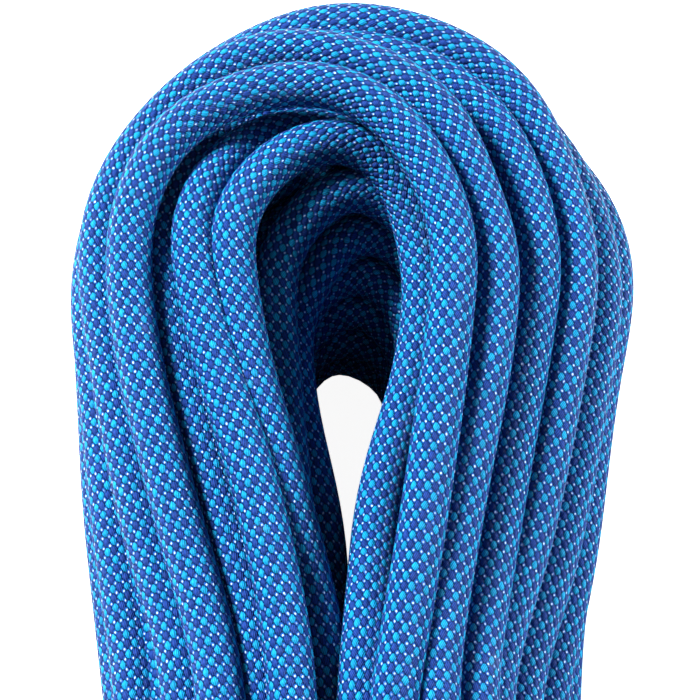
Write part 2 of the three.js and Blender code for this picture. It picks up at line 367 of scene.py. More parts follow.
def wander(layout, share):
    """Slow, even swings, so no two turns lie exactly alike."""
    for turn in range(layout.shape[1]):
        for axis in range(2):
            swing = np.zeros(len(share))
            for wave in range(1, WANDER_WAVES + 1):
                by_turn, by_wave, by_axis = SIZE_STEPS
                size = WANDER * math.sin(by_turn * (turn + 1) + by_wave * wave + by_axis * axis)
                way = wave * share + START_STEPS[0] * turn + START_STEPS[1] * axis * wave
                swing += size / wave ** 0.5 * np.sin(2 * np.pi * way)
            layout[:, turn, axis] += swing


def under_the_shown(layout, target, hold):
    """Turns that are not chosen stay behind the ones that show, from above and from the eye."""
    for station in range(len(layout)):
        held = hold[station]
        if held.max() < HELD_FIRMLY:
            continue
        free = held < HELD_FIRMLY
        top = [turn for turn in TOP_TURNS if held[turn] >= HELD_FIRMLY]
        if len(top) > 2:
            spots = target[station, top]
            order = np.argsort(spots[:, 0])
            x = layout[station, free, 0]
            lid = np.interp(x, spots[order, 0], spots[order, 1]) - BEHIND
            lid = np.where(x > spots[order[-1], 0] + ROPE_RADIUS, NO_LID, lid)
            layout[station, free, 1] = np.minimum(layout[station, free, 1], lid)
        eye = [turn for turn in EYE_TURNS if held[turn] >= HELD_FIRMLY]
        if len(eye) > 2:
            spots = target[station, eye]
            order = np.argsort(spots[:, 1])
            z = layout[station, free, 1]
            wall = np.interp(z, spots[order, 1], spots[order, 0]) + BEHIND
            layout[station, free, 0] = np.maximum(layout[station, free, 0], wall)
    return layout


def guest_places(rows):
    """The finish end passes under the wraps on the right: its place there, and far away elsewhere."""
    here = (rows[:, 2] > 0) & (np.abs(rows[:, 1] - GUEST_MIDDLE) < GUEST_HALF_LENGTH)
    places = np.full((len(rows), 1, 2), FAR_AWAY)
    places[here, 0, 0] = GUEST_X - rows[here, 0]
    places[here, 0, 1] = GUEST_Z
    return places


def settle(layout, rows):
    """Push touching turns a diameter apart, keep them in the room, and draw each one smooth."""
    guest = guest_places(rows)
    target, hold = shown_targets(rows, layout.shape[1])
    held = hold[..., None]
    give = 1.0 - HELD_STIFFNESS * held
    layout = layout * (1 - held) + target * held
    for settled in range(SETTLE_ROUNDS):
        layout = layout + push_apart(layout, guest) * give
        layout = layout + HELD_DRAW * held * (target - layout)
        layout = pull_in(layout, rows, hold)
        layout = under_the_shown(layout, target, hold)
        layout[..., 1] = np.maximum(layout[..., 1], ROPE_RADIUS)
        if settled < SETTLE_ROUNDS - ROUGH_ROUNDS:
            layout = draw_smooth(layout, SMOOTHING)
        tie_turns(layout)
    return layout


def push_apart(layout, guest):
    """How far each turn moves away from the ones that are nearer than a diameter."""
    count = layout.shape[1]
    others = np.concatenate([layout, guest], axis=1)
    gap = layout[:, :, None, :] - others[:, None, :, :]
    apart = np.sqrt((gap ** 2).sum(-1)) + NOT_ITSELF * np.eye(count, count + 1)
    push = np.clip(ROPE - apart, 0.0, None) * PUSH_SHARE / apart
    return (push[..., None] * gap).sum(2)


def pull_in(layout, rows, hold):
    """A turn that lies outside the room is drawn back towards it, unless it is held to its place."""
    middle, wide, height, high = [size[:, None] for size in room_in(rows)]
    x = layout[..., 0] - middle
    z = layout[..., 1] - height
    reach = (np.abs(x / wide) ** EDGE_POWER + np.abs(z / high) ** EDGE_POWER) ** (1 / EDGE_POWER)
    pull = 1.0 - EDGE_PULL * (1.0 - 1.0 / np.maximum(reach, 1.0)) * (1.0 - hold)
    return np.stack([x * pull + middle, z * pull + height], -1)


def draw_smooth(layout, share):
    before = np.empty_like(layout)
    after = np.empty_like(layout)
    before[1:] = layout[:-1]
    after[:-1] = layout[1:]
    before[0] = np.roll(layout[-2], 1, axis=0)
    after[-1] = np.roll(layout[1], -1, axis=0)
    return layout * (1 - share) + 0.5 * share * (before + after)


def tie_turns(layout):
    """Over the foot each turn ends where the next one starts, and the last comes back beside the first."""
    shared = 0.5 * (layout[-1] + np.roll(layout[0], -1, axis=0))
    layout[-1] = shared
    layout[0] = np.roll(shared, 1, axis=0)


def lay_turns(rows):
    """The forty turns as points in space: [station, turn, xyz]."""
    layout = first_layout(rows, ring_places())
    wander(layout, station_share(rows))
    return to_space(settle(layout, rows), rows)


def to_space(layout, rows):
    x = rows[:, 0, None] + rows[:, 2, None] * layout[..., 0]
    y = rows[:, 1, None] + rows[:, 3, None] * layout[..., 0]
    return np.stack([x, y, layout[..., 1]], -1)


# --- the rope's one long route (millimetres)
TIE_Y = 103.2
WRAP_COUNT = 5
WRAP_FIRST_Y = 106.8
WRAP_PITCH = 9.9
WRAP_HALF_WIDE = 54.4
WRAP_LOW = 5.1
WRAP_HIGH = 93.2
WRAP_SQUARENESS = 4.5
WRAP_POINTS = 48
WRAP_CUTS = 720
WRAP_START_X = -46.0
TAIL_Z = 93.65
START_X = -21.0
FINISH_X = 12.0
START_TAIL = (
    (-0.3, -26), (-0.9, -39), (-1.6, -52), (-2.2, -65), (-2.6, -78), (-2.8, -91), (-2.8, -104),
    (-2.8, -117), (-2.8, -130), (-2.8, -143), (-2.8, -156), (-2.8, -169), (-2.8, -182),
)
FINISH_TAIL = (
    (1.1, -24), (3, -36), (5.8, -47.6), (9, -59), (12, -70.6), (14.5, -82.4), (16.2, -94.2),
    (17.2, -106.2), (17.5, -118.2), (17.5, -130.2), (17.5, -142.2), (17.5, -154.2), (17.5, -166.2),
)
# from the last turn up on to the wraps, and from the wraps back under them
ON_TO_WRAPS = ((-31.4, 89.0, 85.3), (-33.0, 96.0, 88.6), (-37.0, 101.8, 91.8))
BACK_UNDER = (
    (38.5, 159.0, 93.3), (31.5, 165.5, 93.2), (23.5, 169.0, 92.4), (16.0, 167.2, 90.2), (12.4, 160.5, 86.6),
)
UNDER_WRAPS = (
    (11.8, 151.0, 83.2), (12.0, 139.0, 82.8), (12.0, 127.0, 82.8), (12.0, 115.0, 82.8), (12.0, 105.0, 83.6),
)
FINISH_RISE = ((12.1, 96.0, 87.2), (12.2, 87.5, 91.4))
START_RISE = ((-21.2, 86.5, 91.6), (-21.1, 95.0, 87.6), (-21.0, 104.0, 84.0))
# on the left side, where the last turn leaves for the wraps and where the first one comes in
LEAVES_Y = 86.0
COMES_IN_Y = 108.0
STEP = 4.0
CURVE_PARTS = 6
EASING_ROUNDS = 4


def wrap_ring():
    """The closed line round the waist that each wrap follows, starting on top at the left, and its run."""
    middle = (WRAP_LOW + WRAP_HIGH) / 2
    x, z = squared_oval(WRAP_HALF_WIDE, (WRAP_HIGH - WRAP_LOW) / 2, WRAP_SQUARENESS, WRAP_CUTS)
    z = middle + z
    start = int(np.argmin(np.abs(x - WRAP_START_X) + OTHER_SIDE * (z < middle)))
    order = (np.arange(WRAP_CUTS + 1) + start) % WRAP_CUTS
    x, z = x[order], z[order]
    return x, z, run_along(x, z)


def wraps():
    """Five wraps, laid side by side from the foot side to the head side."""
    x, z, run = wrap_ring()
    across_top = (2 * abs(WRAP_START_X)) / run[-1]
    turns = WRAP_COUNT - across_top
    count = int(WRAP_POINTS * turns)
    points = []
    for k in range(count + 1):
        turn = turns * k / count
        at = (turn % 1.0) * run[-1]
        points.append((np.interp(at, run, x), WRAP_FIRST_Y + WRAP_PITCH * turn, np.interp(at, run, z)))
    return points


def tail(exit_x, offsets):
    return [(exit_x + dx, TIE_Y + dy, TAIL_Z) for dx, dy in offsets]


def rope_route():
    """Start tail, forty turns, five wraps, back under them, finish tail."""
    rows = stations()
    turns = lay_turns(rows)
    left = rows[:, 2] < 0
    before_tie = int(np.argmax(left & (rows[:, 1] > LEAVES_Y)))
    after_tie = int(np.argmax(left & (rows[:, 1] > COMES_IN_Y)))
    points = list(reversed(tail(START_X, START_TAIL)))
    points += START_RISE
    points += list(turns[after_tie:-1, 0])
    for turn in range(1, TURNS):
        points += list(turns[:-1, turn])
    points += list(turns[:before_tie, 0])
    points += ON_TO_WRAPS
    points += wraps()
    points += BACK_UNDER
    points += UNDER_WRAPS
    points += FINISH_RISE
    points += tail(FINISH_X, FINISH_TAIL)
    return even_points(np.array([tuple(p) for p in points], float))


def through_points(points, parts):
    """A smooth curve through the points, each gap cut into equal parts."""
    before = np.vstack([2 * points[0] - points[1], points[:-1]])
    after = np.vstack([points[1:], 2 * points[-1] - points[-2]])
    slope = (after - before) / 2
    t = (np.arange(parts) / parts)[None, :, None]
    a, b = points[:-1, None], points[1:, None]
    u, v = slope[:-1, None], slope[1:, None]
    curve = (2 * t**3 - 3 * t**2 + 1) * a + (t**3 - 2 * t**2 + t) * u
    curve = curve + (3 * t**2 - 2 * t**3) * b + (t**3 - t**2) * v
    return np.vstack([curve.reshape(-1, 3), points[-1]])


def even_points(points):
    """The same line cut into equal steps, its small corners eased."""
    curve = through_points(points, CURVE_PARTS)
    run = np.concatenate([[0.0], np.cumsum(np.linalg.norm(np.diff(curve, axis=0), axis=1))])
    count = int(round(run[-1] / STEP))
    at = np.linspace(0.0, run[-1], count + 1)
    line = np.stack([np.interp(at, run, curve[:, axis]) for axis in range(3)], -1)
    for _ in range(EASING_ROUNDS):
        line[1:-1] = 0.25 * line[:-2] + 0.5 * line[1:-1] + 0.25 * line[2:]
    return line


# --- the rope itself
ROPE_SIDES = 16
LAY_LENGTH = 42.0
# the repeating map: lengths of 42 steps, which is four lays of the braid, in six strips
TILE_STEPS = 42
TILE_STRIPS = 6
TILE_MARGIN = 0.004
# the core inside the two tails: twelve strands in two rings, and a flat marker tape
CORE_STEPS = {"start": 45, "finish": 43}
INNER_STRANDS = 3
OUTER_STRANDS = 9
INNER_RING = 1.0
OUTER_RING = 2.53
STRAND_RADIUS = 0.74
STRAND_SIDES = 8
TAPE_OUT = 3.53
TAPE_HALF_WIDE = 1.2
TAPE_HALF_THICK = 0.075


def frames_along(line):
    """A direction across the line at every point, turning no more than the line makes it."""
    ahead = np.gradient(line, axis=0)
    ahead /= np.linalg.norm(ahead, axis=1)[:, None]
    across = np.zeros_like(line)
    side = np.array([0.0, 0.0, 1.0])
    for k, direction in enumerate(ahead):
        side = side - direction * side.dot(direction)
        side /= np.linalg.norm(side)
        across[k] = side
    return ahead, across


def mesh_object(name, verts, faces, smooth=True):
    mesh = bpy.data.meshes.new(name)
    mesh.from_pydata(verts, [], faces)
    mesh.polygons.foreach_set("use_smooth", [smooth] * len(mesh.polygons))
    mesh.update()
    piece = bpy.data.objects.new(name, mesh)
    bpy.context.scene.collection.objects.link(piece)
    return piece


def tube_faces(rings, sides):
    ring = np.arange(rings - 1)[:, None] * sides
    side = np.arange(sides)[None, :]
    after = (side + 1) % sides
    corners = np.stack([ring + side, ring + after, ring + after + sides, ring + side + sides], -1)
    return corners.reshape(-1, 4)


def round_outline(radius, sides, x=0.0, y=0.0):
    angles = 2 * np.pi * np.arange(sides) / sides
    return np.stack([x + radius * np.cos(angles), y + radius * np.sin(angles)], -1)


def shape_along(name, line, outline, smooth=True):
    """A solid with this outline (out, sideways) carried along the line, closed at both ends."""
    ahead, across = frames_along(line)
    other = np.cross(ahead, across)
    ring = outline[None, :, :1] * across[:, None] + outline[None, :, 1:] * other[:, None]
    verts = (line[:, None] + ring).reshape(-1, 3) * MM
    sides = len(outline)
    last = (len(line) - 1) * sides
    faces = tube_faces(len(line), sides).tolist()
    faces.append(list(range(sides))[::-1])
    faces.append([last + k for k in range(sides)])
    return mesh_object(name, verts.tolist(), faces, smooth)


def make_rope(line):
    rope = shape_along("rope", line, round_outline(ROPE_RADIUS, ROPE_SIDES))
    give_braid_map(rope, line)
    give_tile_map(rope, line)
    return rope


def tail_line(end, line):
    """The rope's line from its end to the wraps."""
    steps = CORE_STEPS[end]
    return line[:steps + 1] if end == "start" else line[-steps - 1:]


def strand_places():
    inner = [(INNER_RING, k / INNER_STRANDS) for k in range(INNER_STRANDS)]
    outer = [(OUTER_RING, (k + 0.5) / OUTER_STRANDS) for k in range(OUTER_STRANDS)]
    places = [(out, math.tau * turn) for out, turn in inner + outer]
    return [(out * math.cos(angle), out * math.sin(angle)) for out, angle in places]


def make_core(end, line):
    """The pieces inside one tail, each with the name of the node it stands for."""
    inside = tail_line(end, line)
    made = []
    for number, (x, y) in enumerate(strand_places(), 1):
        node = f"{end}_core_strand_{number:02d}"
        outline = round_outline(STRAND_RADIUS, STRAND_SIDES, x, y)
        made.append((shape_along(node + "_seen", inside, outline), node, "strand", "core_nylon"))
    wide, thick = TAPE_HALF_WIDE, TAPE_HALF_THICK
    corners = ((-thick, -wide), (thick, -wide), (thick, wide), (-thick, wide))
    outline = np.array([(TAPE_OUT + x, y) for x, y in corners])
    node = end + "_marker_tape"
    tape = shape_along(node + "_seen", inside, outline, smooth=False)
    made.append((tape, node, "tape", "marker_tape"))
    return made


def give_braid_map(rope, line):
    """A map for the weave: once round the rope across it, and one lay of the braid along it."""
    around, along = round_and_along(len(line) - 1)
    lay_uv(rope, "braid", around, along * STEP / LAY_LENGTH)


def give_tile_map(rope, line):
    """A map of short lengths that lie on top of one another in a few strips, since the braid repeats."""
    around, along = round_and_along(len(line) - 1)
    first = np.repeat(np.arange(len(line) - 1), ROPE_SIDES)[:, None]
    length = first // TILE_STEPS
    strip = length % TILE_STRIPS
    inside = TILE_MARGIN + (1.0 - 2.0 * TILE_MARGIN) * around
    down = TILE_MARGIN + (1.0 - 2.0 * TILE_MARGIN) * (along - length * TILE_STEPS) / TILE_STEPS
    lay_uv(rope, "OFBake", (strip + inside) / TILE_STRIPS, down)


def round_and_along(steps):
    """For each corner of each side face: how far round, from 0 to 1, and how many steps along."""
    first = np.repeat(np.arange(steps), ROPE_SIDES)[:, None]
    side = np.tile(np.arange(ROPE_SIDES), steps)[:, None]
    around = (side + np.array([[0, 1, 1, 0]])) / ROPE_SIDES
    along = (first + np.array([[0, 0, 1, 1]])).astype(float)
    return around, along


def lay_uv(rope, name, around, along):
    sides = np.stack([around.reshape(-1), along.reshape(-1)], -1)
    caps = np.zeros((2 * ROPE_SIDES, 2))
    layer = rope.data.uv_layers.new(name=name)
    layer.data.foreach_set("uv", np.vstack([sides, caps]).astype(np.float32).reshape(-1))


# --- finishes
YARNS_EACH_WAY = 20
THIN_HALF = 0.40
PIECE_SQUARENESS = 1.5
PIECE_REACH = 0.54
UNEVEN_SCALE = 0.9
UNEVEN_SHIFT = 0.26
# how high the yarns stand: where one passes over, and by their own roundness
BROAD_OVER = 0.15
BROAD_ROUND = 0.85
THIN_UNDER = -0.5
THIN_ROUND = 0.3
# the fine threads of a yarn: their number across it and their slant, and how much they show
THREADS_ACROSS = 19.0
THREADS_SLANT = 7.0
THREADS_LIGHT = 0.40
THREADS_MIDDLE = 0.80
THREADS_HEIGHT = 0.08
# each piece of yarn has a lightness of its own; each crossing of the thin yarn gets a painted glint, a pale
# highlight painted on the top of the yarn, with a strength of its own
PIECE_LIGHT = 0.35
PIECE_LEAST = 0.86
GLINT_LIGHT = 0.8
GLINT_LEAST = 0.3
# where the painted highlight sits on the thin yarn: where it passes over, and on the top of its roundness
GLINT_OVER = (-0.78, -0.95)
GLINT_ROUND = (0.80, 0.98)
# the heights over which the weave is darkened into painted shade, from the low places between the yarns
# upwards
PAINTED_SHADE_HEIGHTS = (0.18, 0.62)
BROAD_ROUGHNESS = 0.55
THIN_ROUGHNESS = 0.35


class Bench:
    """Lays out shader nodes in one tree."""

    def __init__(self, tree):
        self.tree = tree
        self.count = 0

    def node(self, kind, **settings):
        made = self.tree.nodes.new(kind)
        made.location = (180 * (self.count % 12), -220 * (self.count // 12))
        self.count += 1
        for name, value in settings.items():
            setattr(made, name, value)
        return made

    def feed(self, socket, value):
        if isinstance(value, bpy.types.NodeSocket):
            self.tree.links.new(value, socket)
        else:
            socket.default_value = value

    def calc(self, operation, first, second=None, third=None):
        made = self.node("ShaderNodeMath", operation=operation)
        for socket, value in zip(made.inputs, (first, second, third)):
            if value is not None:
                self.feed(socket, value)
        return made.outputs[0]

    def mix(self, share, first, second, blend="MIX"):
        made = self.node("ShaderNodeMix", data_type="RGBA", blend_type=blend)
        self.feed(made.inputs[0], share)
        self.feed(made.inputs[6], first)
        self.feed(made.inputs[7], second)
        return made.outputs[2]

    def ramp(self, value, low, high, to_low=0.0, to_high=1.0):
        made = self.node("ShaderNodeMapRange", interpolation_type="SMOOTHSTEP")
        for socket, number in zip(made.inputs, (value, low, high, to_low, to_high)):
            self.feed(socket, number)
        return made.outputs[0]

    def noise(self, vector, scale, detail=3.0, roughness=0.5):
        made = self.node("ShaderNodeTexNoise")
        self.feed(made.inputs["Vector"], vector)
        made.inputs["Scale"].default_value = scale
        made.inputs["Detail"].default_value = detail
        made.inputs["Roughness"].default_value = roughness
        return made.outputs["Fac"]


def new_group(name, inputs, outputs):
    tree = bpy.data.node_groups.new(name, "ShaderNodeTree")
    for label, kind in inputs:
        tree.interface.new_socket(name=label, in_out="INPUT", socket_type=kind)
    for label, kind in outputs:
        tree.interface.new_socket(name=label, in_out="OUTPUT", socket_type=kind)
    bench = Bench(tree)
    return tree, bench, bench.node("NodeGroupInput"), bench.node("NodeGroupOutput")


def weave_group():
    """Plain braid, one over and one under: broad yarns in two blues, a thin one between them, with a
    painted glint on the thin yarn's top and painted shade in the low places.
    """
    colours = ("Bright Yarn", "Dark Yarn", "Thin Yarn", "Thin Crown", "Gap")
    inputs = [("Map", "NodeSocketVector")] + [(name, "NodeSocketColor") for name in colours]
    outputs = [
        ("Colour", "NodeSocketColor"), ("Height", "NodeSocketFloat"), ("Roughness", "NodeSocketFloat"),
    ]
    tree, bench, given, result = new_group("weave", inputs, outputs)
    calc = bench.calc
    around, along = uneven_places(bench, given.outputs["Map"])
    broad = calc("SUBTRACT", around, along)
    thin = calc("ADD", around, along)
    broad_across = calc("SUBTRACT", calc("FRACT", broad), 0.5)
    thin_across = calc("SUBTRACT", calc("FRACT", thin), 0.5)
    broad_wave = calc("SINE", calc("MULTIPLY", broad, math.pi))
    over = calc("MULTIPLY", broad_wave, calc("SINE", calc("MULTIPLY", thin, math.pi)))
    threads_slant = calc("MULTIPLY", broad_across, THREADS_ACROSS)
    threads = calc("SINE", calc("MULTIPLY_ADD", thin_across, THREADS_SLANT, threads_slant))
    thin_bulge = yarn_bulge(bench, thin_across, THIN_HALF)
    piece_height = calc("MULTIPLY", yarn_piece_bulge(bench, around, along), BROAD_ROUND)
    broad_high = calc("MULTIPLY_ADD", over, BROAD_OVER, piece_height)
    thin_high = thin_height(bench, over, thin_across, thin_bulge)
    thin_shows = calc("GREATER_THAN", thin_high, broad_high)
    height = calc("MAXIMUM", thin_high, broad_high)
    broad_colour = broad_yarn_colour(bench, given, around, along, threads)
    thin_colour = thin_yarn_colour(bench, given, pair(bench, calc("FLOOR", broad), calc("FLOOR", thin)),
                                   over, thin_bulge)
    colour = bench.mix(thin_shows, broad_colour, thin_colour)
    # painted shade: the lower the weave lies, the darker it is painted, down to the shade colour in the
    # gaps
    colour = bench.mix(bench.ramp(height, *PAINTED_SHADE_HEIGHTS), given.outputs["Gap"], colour)
    relief = calc("MULTIPLY", calc("ADD", threads, 1.0), THREADS_HEIGHT)
    bench.feed(result.inputs["Colour"], colour)
    bench.feed(result.inputs["Height"], calc("ADD", height, relief))
    smoother = THIN_ROUGHNESS - BROAD_ROUGHNESS
    bench.feed(result.inputs["Roughness"], calc("MULTIPLY_ADD", thin_shows, smoother, BROAD_ROUGHNESS))
    return tree


def uneven_places(bench, braid_map):
    """How many yarns round and along a place is, moved a little so that the yarns aren't all alike."""
    split = bench.node("ShaderNodeSeparateXYZ")
    bench.feed(split.inputs[0], braid_map)
    around = bench.calc("MULTIPLY", split.outputs[0], float(YARNS_EACH_WAY))
    along = bench.calc("MULTIPLY", split.outputs[1], float(YARNS_EACH_WAY))
    unevenness = bench.node("ShaderNodeTexNoise")
    unevenness.inputs["Scale"].default_value = UNEVEN_SCALE
    unevenness.inputs["Detail"].default_value = 1.0
    bench.feed(unevenness.inputs["Vector"], pair(bench, around, along))
    shift = bench.node("ShaderNodeSeparateXYZ")
    bench.feed(shift.inputs[0], unevenness.outputs["Color"])
    moved = []
    for even, amount in ((around, shift.outputs[0]), (along, shift.outputs[1])):
        moved.append(bench.calc("MULTIPLY_ADD", bench.calc("SUBTRACT", amount, 0.5), UNEVEN_SHIFT, even))
    return moved


def thin_height(bench, over, across, bulge):
    """The thin yarn's height, highest where it passes over, and nothing beside it."""
    there = bench.calc("LESS_THAN", bench.calc("ABSOLUTE", across), THIN_HALF)
    rise = bench.calc("MULTIPLY_ADD", over, THIN_UNDER, bench.calc("MULTIPLY", bulge, THIN_ROUND))
    return bench.calc("SUBTRACT", bench.calc("MULTIPLY", bench.calc("ADD", rise, 1.0), there), 1.0)


def broad_yarn_colour(bench, given, around, along, threads):
    """Bright and dark pieces by turns, each with a lightness of its own."""
    calc = bench.calc
    column = calc("FLOOR", around)
    row = calc("FLOOR", calc("ADD", along, 0.5))
    is_dark = calc("GREATER_THAN", calc("FRACT", calc("MULTIPLY", calc("ADD", column, row), 0.5)), 0.25)
    colour = bench.mix(is_dark, given.outputs["Bright Yarn"], given.outputs["Dark Yarn"])
    own = bench.node("ShaderNodeTexWhiteNoise", noise_dimensions="2D")
    bench.feed(own.inputs["Vector"], pair(bench, column, row))
    shade = calc("MULTIPLY_ADD", threads, THREADS_LIGHT, THREADS_MIDDLE)
    shade = calc("MULTIPLY", shade, calc("MULTIPLY_ADD", own.outputs["Value"], PIECE_LIGHT, PIECE_LEAST))
    return bench.mix(1.0, colour, grey(bench, shade), "MULTIPLY")


def thin_yarn_colour(bench, given, crossing, over, bulge):
    """The thin yarn, with a painted highlight on its top at each crossing."""
    # painted highlight, strongest on the thin yarn's top where it passes over
    painted_glint = bench.calc("MULTIPLY", bench.ramp(over, *GLINT_OVER), bench.ramp(bulge, *GLINT_ROUND))
    glint = bench.node("ShaderNodeTexWhiteNoise", noise_dimensions="2D")
    bench.feed(glint.inputs["Vector"], crossing)
    strength = bench.calc("MULTIPLY_ADD", glint.outputs["Value"], GLINT_LIGHT, GLINT_LEAST)
    painted_glint = bench.calc("MULTIPLY", painted_glint, strength)
    return bench.mix(painted_glint, given.outputs["Thin Yarn"], given.outputs["Thin Crown"])


def yarn_piece_bulge(bench, around, along):
    """How high each showing piece of broad yarn stands: a rounded lozenge between four crossings."""
    calc = bench.calc
    side = calc("ABSOLUTE", calc("SUBTRACT", calc("FRACT", around), 0.5))
    end = calc("ABSOLUTE", calc("SUBTRACT", calc("FRACT", calc("ADD", along, 0.5)), 0.5))
    side_share = calc("POWER", calc("DIVIDE", side, PIECE_REACH), PIECE_SQUARENESS)
    end_share = calc("POWER", calc("DIVIDE", end, PIECE_REACH), PIECE_SQUARENESS)
    left = calc("SUBTRACT", 1.0, calc("ADD", side_share, end_share))
    return calc("SQRT", calc("MAXIMUM", left, 0.0))


def yarn_bulge(bench, across, half):
    """How round a yarn stands, from one at its middle to nothing at its edge."""
    share = bench.calc("DIVIDE", across, half)
    left = bench.calc("SUBTRACT", 1.0, bench.calc("MULTIPLY", share, share))
    return bench.calc("SQRT", bench.calc("MAXIMUM", left, 0.0))


def pair(bench, x, y):
    made = bench.node("ShaderNodeCombineXYZ")
    bench.feed(made.inputs[0], x)
    bench.feed(made.inputs[1], y)
    return made.outputs[0]


def grey(bench, value):
    made = bench.node("ShaderNodeCombineColor")
    for socket in made.inputs[:3]:
        bench.feed(socket, value)
    return made.outputs[0]


FADE_SCALE = 9.0
FADE_LIGHT = 0.24
FADE_LEAST = 0.88
SPECK_SCALE = 160.0
SPECK_EDGE = (0.62, 0.86)
SPECK_SHARE = 0.12


def handling_group():
    """Slow fading and a little dust, so long runs are not all alike."""
    inputs = [("Colour", "NodeSocketColor"), ("Dust", "NodeSocketColor"), ("Scale", "NodeSocketFloat")]
    outputs = [("Colour", "NodeSocketColor"), ("Dust Mask", "NodeSocketFloat")]
    tree, bench, given, result = new_group("handling", inputs, outputs)
    place = bench.node("ShaderNodeTexCoord").outputs["Object"]
    scaled = bench.node("ShaderNodeVectorMath", operation="SCALE")
    bench.feed(scaled.inputs[0], place)
    bench.feed(scaled.inputs["Scale"], given.outputs["Scale"])
    slow = bench.noise(scaled.outputs[0], FADE_SCALE, 2.0)
    fine = bench.noise(scaled.outputs[0], SPECK_SCALE, 4.0)
    light = bench.calc("MULTIPLY_ADD", slow, FADE_LIGHT, FADE_LEAST)
    faded = bench.mix(1.0, given.outputs["Colour"], grey(bench, light), "MULTIPLY")
    mask = bench.calc("MULTIPLY", bench.ramp(fine, *SPECK_EDGE), SPECK_SHARE)
    bench.feed(result.inputs["Colour"], bench.mix(mask, faded, given.outputs["Dust"]))
    bench.feed(result.inputs["Dust Mask"], mask)
    return tree


def fibre_group():
    """Fine lines along y, for plied strands and drawn tape."""
    inputs = [("Across Scale", "NodeSocketFloat"), ("Along Scale", "NodeSocketFloat")]
    outputs = [("Lines", "NodeSocketFloat")]
    tree, bench, given, result = new_group("fibres", inputs, outputs)
    split = bench.node("ShaderNodeSeparateXYZ")
    bench.feed(split.inputs[0], bench.node("ShaderNodeTexCoord").outputs["Object"])
    joined = bench.node("ShaderNodeCombineXYZ")
    for axis, scale in enumerate(("Across Scale", "Along Scale", "Across Scale")):
        bench.feed(joined.inputs[axis], bench.calc("MULTIPLY", split.outputs[axis], given.outputs[scale]))
    bench.feed(result.inputs["Lines"], bench.noise(joined.outputs[0], 1.0, 3.0))
    return tree


def new_material(name):
    material = bpy.data.materials.new(name)
    material.use_nodes = True
    material.node_tree.nodes.clear()
    bench = Bench(material.node_tree)
    output = bench.node("ShaderNodeOutputMaterial")
    shader = bench.node("ShaderNodeBsdfPrincipled")
    bench.feed(output.inputs["Surface"], shader.outputs[0])
    return material, bench, shader


def use_group(bench, tree, **values):
    made = bench.node("ShaderNodeGroup")
    made.node_tree = tree
    for name, value in values.items():
        bench.feed(made.inputs[name.replace("_", " ")], value)
    return made.outputs


def bump(bench, shader, height, distance, strength=1.0):
    made = bench.node("ShaderNodeBump")
    made.inputs["Strength"].default_value = strength
    made.inputs["Distance"].default_value = distance
    bench.feed(made.inputs["Height"], height)
    bench.feed(shader.inputs["Normal"], made.outputs[0])


BRIGHT_YARN = (0.006, 0.33, 0.66, 1.0)
DARK_YARN = (0.012, 0.050, 0.27, 1.0)
THIN_YARN = (0.008, 0.09, 0.38, 1.0)
# the colour of the painted highlight on the thin yarn's top, not a colour of the yarn itself
PAINTED_GLINT_COLOUR = (0.55, 0.72, 1.0, 1.0)
# painted shade for the low places between the yarns
WEAVE_PAINTED_SHADE = (0.0, 0.005, 0.045, 1.0)
SHEATH_DUST = (0.30, 0.40, 0.60, 1.0)
SHEATH_SHINE = 0.1
CORE_SHADE = (0.62, 0.62, 0.58, 1.0)
CORE_WHITE = (0.86, 0.86, 0.83, 1.0)
TAPE_SHADE = (0.78, 0.70, 0.42, 1.0)
TAPE_YELLOW = (0.90, 0.84, 0.60, 1.0)
BAND_WHITE = (0.83, 0.84, 0.82, 1.0)
BAND_LINE = (0.02, 0.16, 0.45, 1.0)
BAND_DUST = (0.5, 0.5, 0.48, 1.0)
SLEEVE_CLEAR = (0.82, 0.88, 0.92, 1.0)
SLEEVE_DUST = (0.9, 0.92, 0.94, 1.0)
TIP_DARK = (0.004, 0.010, 0.045, 1.0)
TIP_BLUE = (0.020, 0.060, 0.20, 1.0)
TIP_DUST = (0.2, 0.2, 0.22, 1.0)
TIP_LUMPS = 700.0
BAND_STRIPE = 0.12


def sheath_finish(groups):
    material, bench, shader = new_material("braided sheath")
    braid = bench.node("ShaderNodeUVMap", uv_map="braid").outputs[0]
    weave = use_group(bench, groups["weave"], Map=braid, Bright_Yarn=BRIGHT_YARN, Dark_Yarn=DARK_YARN,
                      Thin_Yarn=THIN_YARN, Thin_Crown=PAINTED_GLINT_COLOUR, Gap=WEAVE_PAINTED_SHADE)
    handled = use_group(bench, groups["handling"], Colour=weave["Colour"], Dust=SHEATH_DUST, Scale=1.0)
    bench.feed(shader.inputs["Base Color"], handled["Colour"])
    bench.feed(shader.inputs["Roughness"], weave["Roughness"])
    shader.inputs["Specular IOR Level"].default_value = SHEATH_SHINE
    bump(bench, shader, weave["Height"], 0.0006)
    return material


def strand_finish(groups):
    material, bench, shader = new_material("core nylon")
    lines = use_group(bench, groups["fibres"], Across_Scale=2600.0, Along_Scale=240.0)["Lines"]
    bench.feed(shader.inputs["Base Color"], bench.mix(lines, CORE_SHADE, CORE_WHITE))
    bench.feed(shader.inputs["Roughness"], bench.calc("MULTIPLY_ADD", lines, 0.2, 0.5))
    bump(bench, shader, lines, 0.0002)
    return material


def tape_finish(groups):
    material, bench, shader = new_material("marker tape")
    lines = use_group(bench, groups["fibres"], Across_Scale=900.0, Along_Scale=60.0)["Lines"]
    bench.feed(shader.inputs["Base Color"], bench.mix(lines, TAPE_SHADE, TAPE_YELLOW))
    bench.feed(shader.inputs["Roughness"], bench.calc("MULTIPLY_ADD", lines, 0.15, 0.45))
    bump(bench, shader, lines, 0.00003)
    return material


